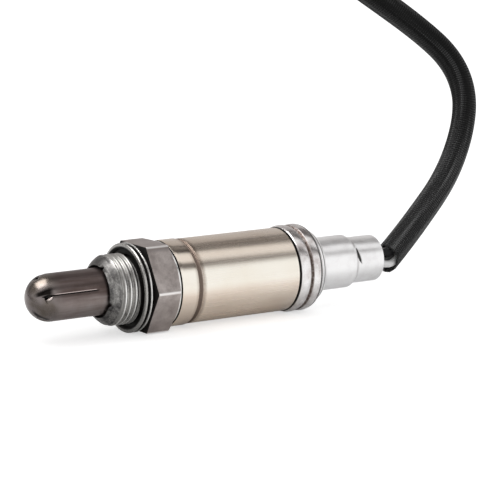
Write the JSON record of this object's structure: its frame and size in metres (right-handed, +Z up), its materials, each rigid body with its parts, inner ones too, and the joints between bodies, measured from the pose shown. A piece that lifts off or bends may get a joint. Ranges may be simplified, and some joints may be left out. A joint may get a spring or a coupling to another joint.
{
  "type": "oxygen sensor",
  "caption": "Automotive exhaust oxygen sensor: slotted probe, threaded hexagon shell, crush ring, rolled metal housing and a woven-sleeved lead ending in a shrouded plug.",
  "frame": {"origin": "on the thread's axis, in the plane where the exhaust boss meets the crush ring", "axes": "+X along the axis towards the lead, +Z up, -Y towards the side that faces the viewer; the probe points along -X"},
  "size_m": [0.2834, 0.0667, 0.1093],
  "materials": {
    "heat_tinted_steel": "satin",
    "plain_stainless": "satin",
    "zirconia": "matte",
    "alumina": "matte",
    "plated_steel": "satin",
    "gasket_steel": "satin",
    "talc": "matte",
    "steatite": "matte",
    "contact_strip": "satin",
    "champagne_steel": "satin",
    "bright_stainless": "satin",
    "filter_membrane": "matte",
    "grommet_rubber": "matte",
    "white_insulation": "satin",
    "black_insulation": "satin",
    "grey_insulation": "satin",
    "woven_sleeve": "matte",
    "shrink_band": "satin",
    "plug_plastic": "satin",
    "seal_rubber": "matte",
    "lock_plastic": "satin",
    "tinned_contact": "polished"
  },
  "bodies": {
    "root": {"outer_protection_tube": "heat_tinted_steel", "inner_protection_tube": "plain_stainless", "zirconia_thimble": "zirconia", "heater_rod": "alumina", "thimble_seat_ring": "plain_stainless", "threaded_shell": "plated_steel", "sealing_ring": "gasket_steel", "talc_packing": "talc", "packing_bush": "steatite", "crimp_ring": "plain_stainless", "ground_contact": "contact_strip", "signal_contact": "contact_strip", "heater_contacts": "contact_strip", "ceramic_insulator": "steatite", "disc_spring": "plain_stainless", "protective_sleeve": "champagne_steel", "rear_cap": "bright_stainless", "vent_filter": "filter_membrane", "cable_grommet": "grommet_rubber", "heater_wires": "white_insulation", "signal_wire": "black_insulation", "ground_wire": "grey_insulation", "cable_sleeve": "woven_sleeve", "sleeve_end_band": "shrink_band", "connector_wires": "black_insulation", "connector_housing": "plug_plastic", "wire_seal": "seal_rubber", "terminal_lock": "lock_plastic", "terminal_pins": "tinned_contact"}
  },
  "joints": []
}
